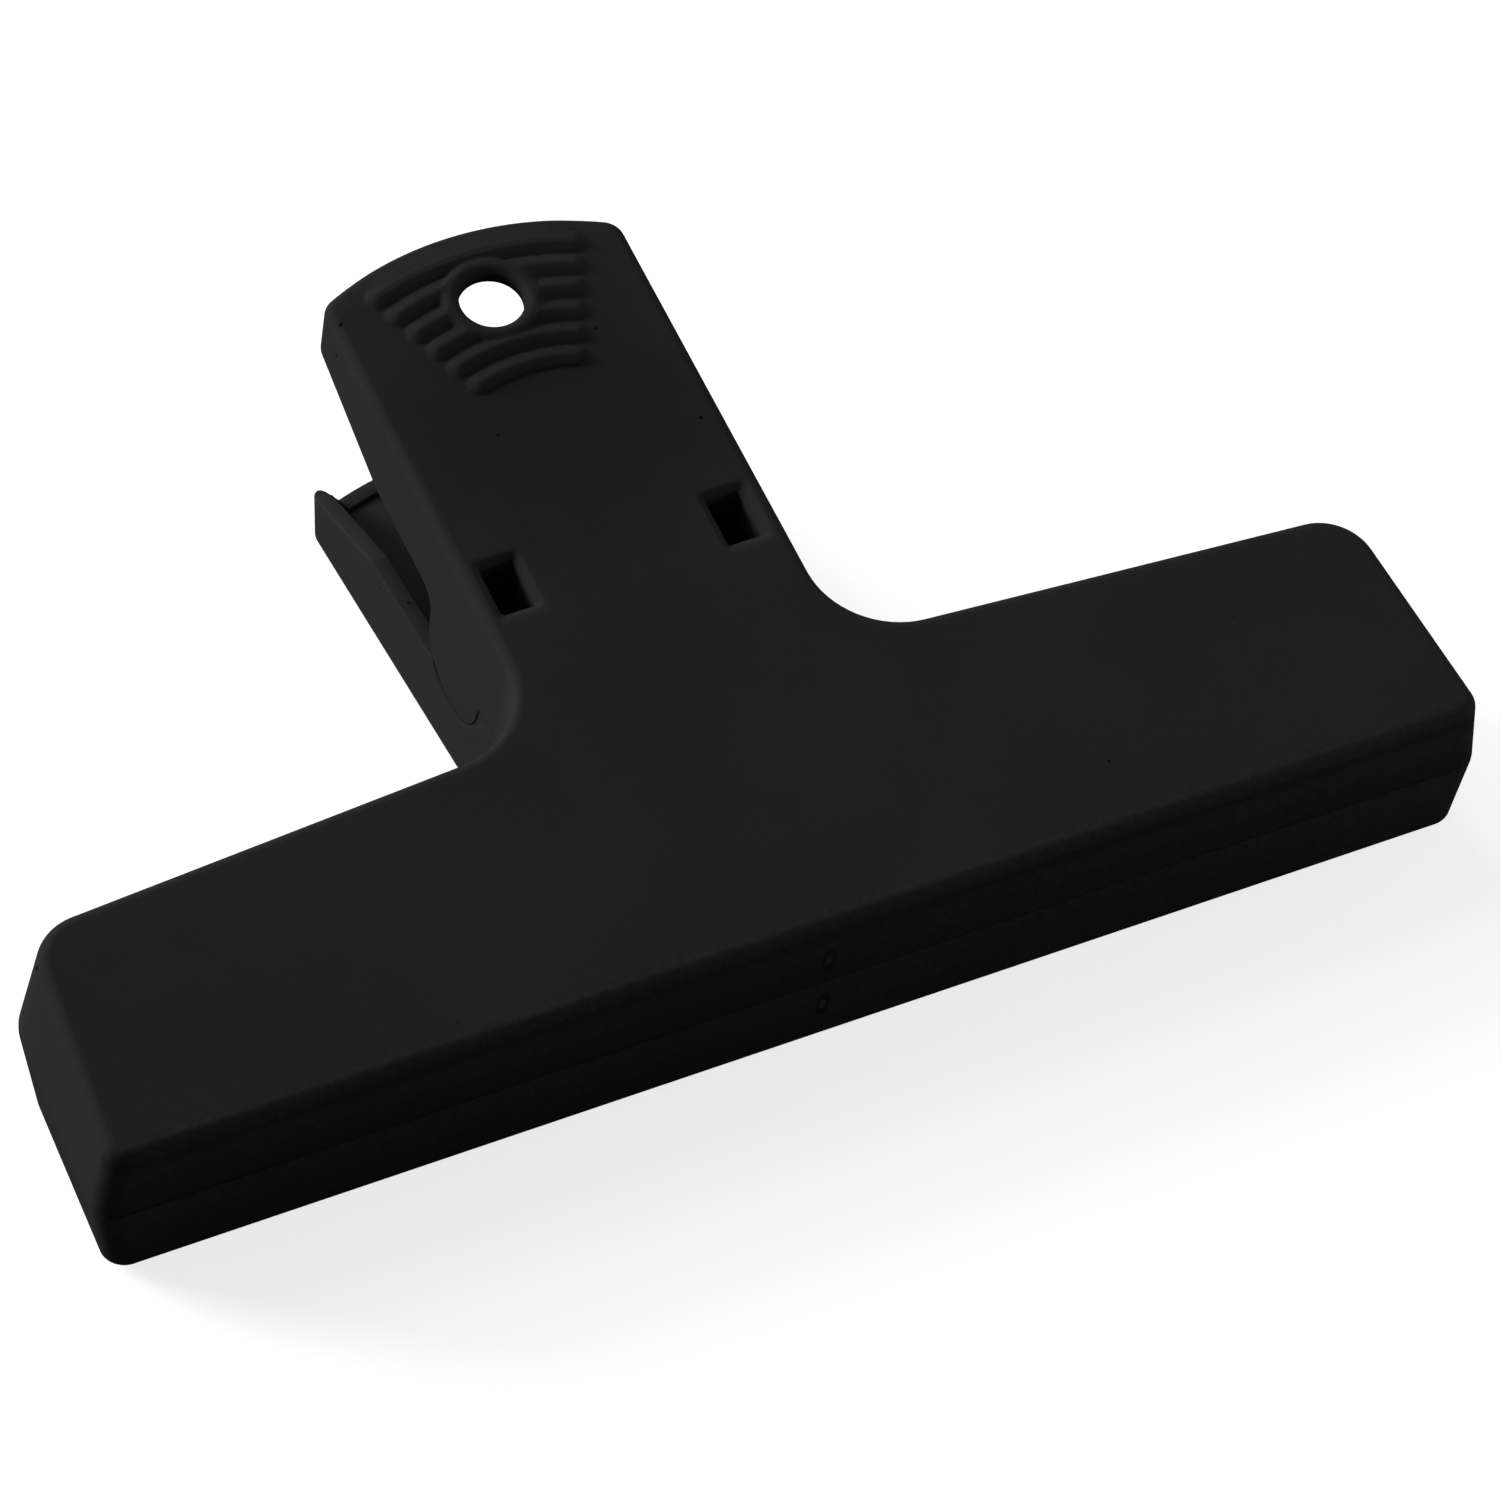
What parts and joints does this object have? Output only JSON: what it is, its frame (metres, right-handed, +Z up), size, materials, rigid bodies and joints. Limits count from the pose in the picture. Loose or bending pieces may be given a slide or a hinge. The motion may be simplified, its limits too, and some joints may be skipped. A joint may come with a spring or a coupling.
{
  "type": "spring clip",
  "caption": "T-shaped plastic spring clip: wide straight bar jaws, two handles with arched grip ribs and hang holes, sprung shut round a hidden steel pin.",
  "frame": {"origin": "under the middle of the closed clip, on the surface it lies on", "axes": "+X along the jaw bar, +Y from the jaws back to the handle ends, +Z up from the lower half to the upper half"},
  "size_m": [0.1546, 0.0942, 0.0385],
  "materials": {
    "plastic": "black, fine satin moulded surface",
    "steel": "plain drawn wire"
  },
  "bodies": {
    "lower": {"lower_half": "plastic", "pivot_pin": "steel", "torsion_spring": "steel"},
    "upper": {"upper_half": "plastic"}
  },
  "joints": [
    {"name": "handle_squeeze", "type": "hinge", "parent": "lower", "child": "upper", "pos_m": [0, 0.00483, 0.01542], "axis": [-1, 0, 0], "range_deg": [0, 26], "stiffness_Nm_per_rad": 1, "springref_deg": -45.84, "deforming": ["torsion_spring"]}
  ]
}
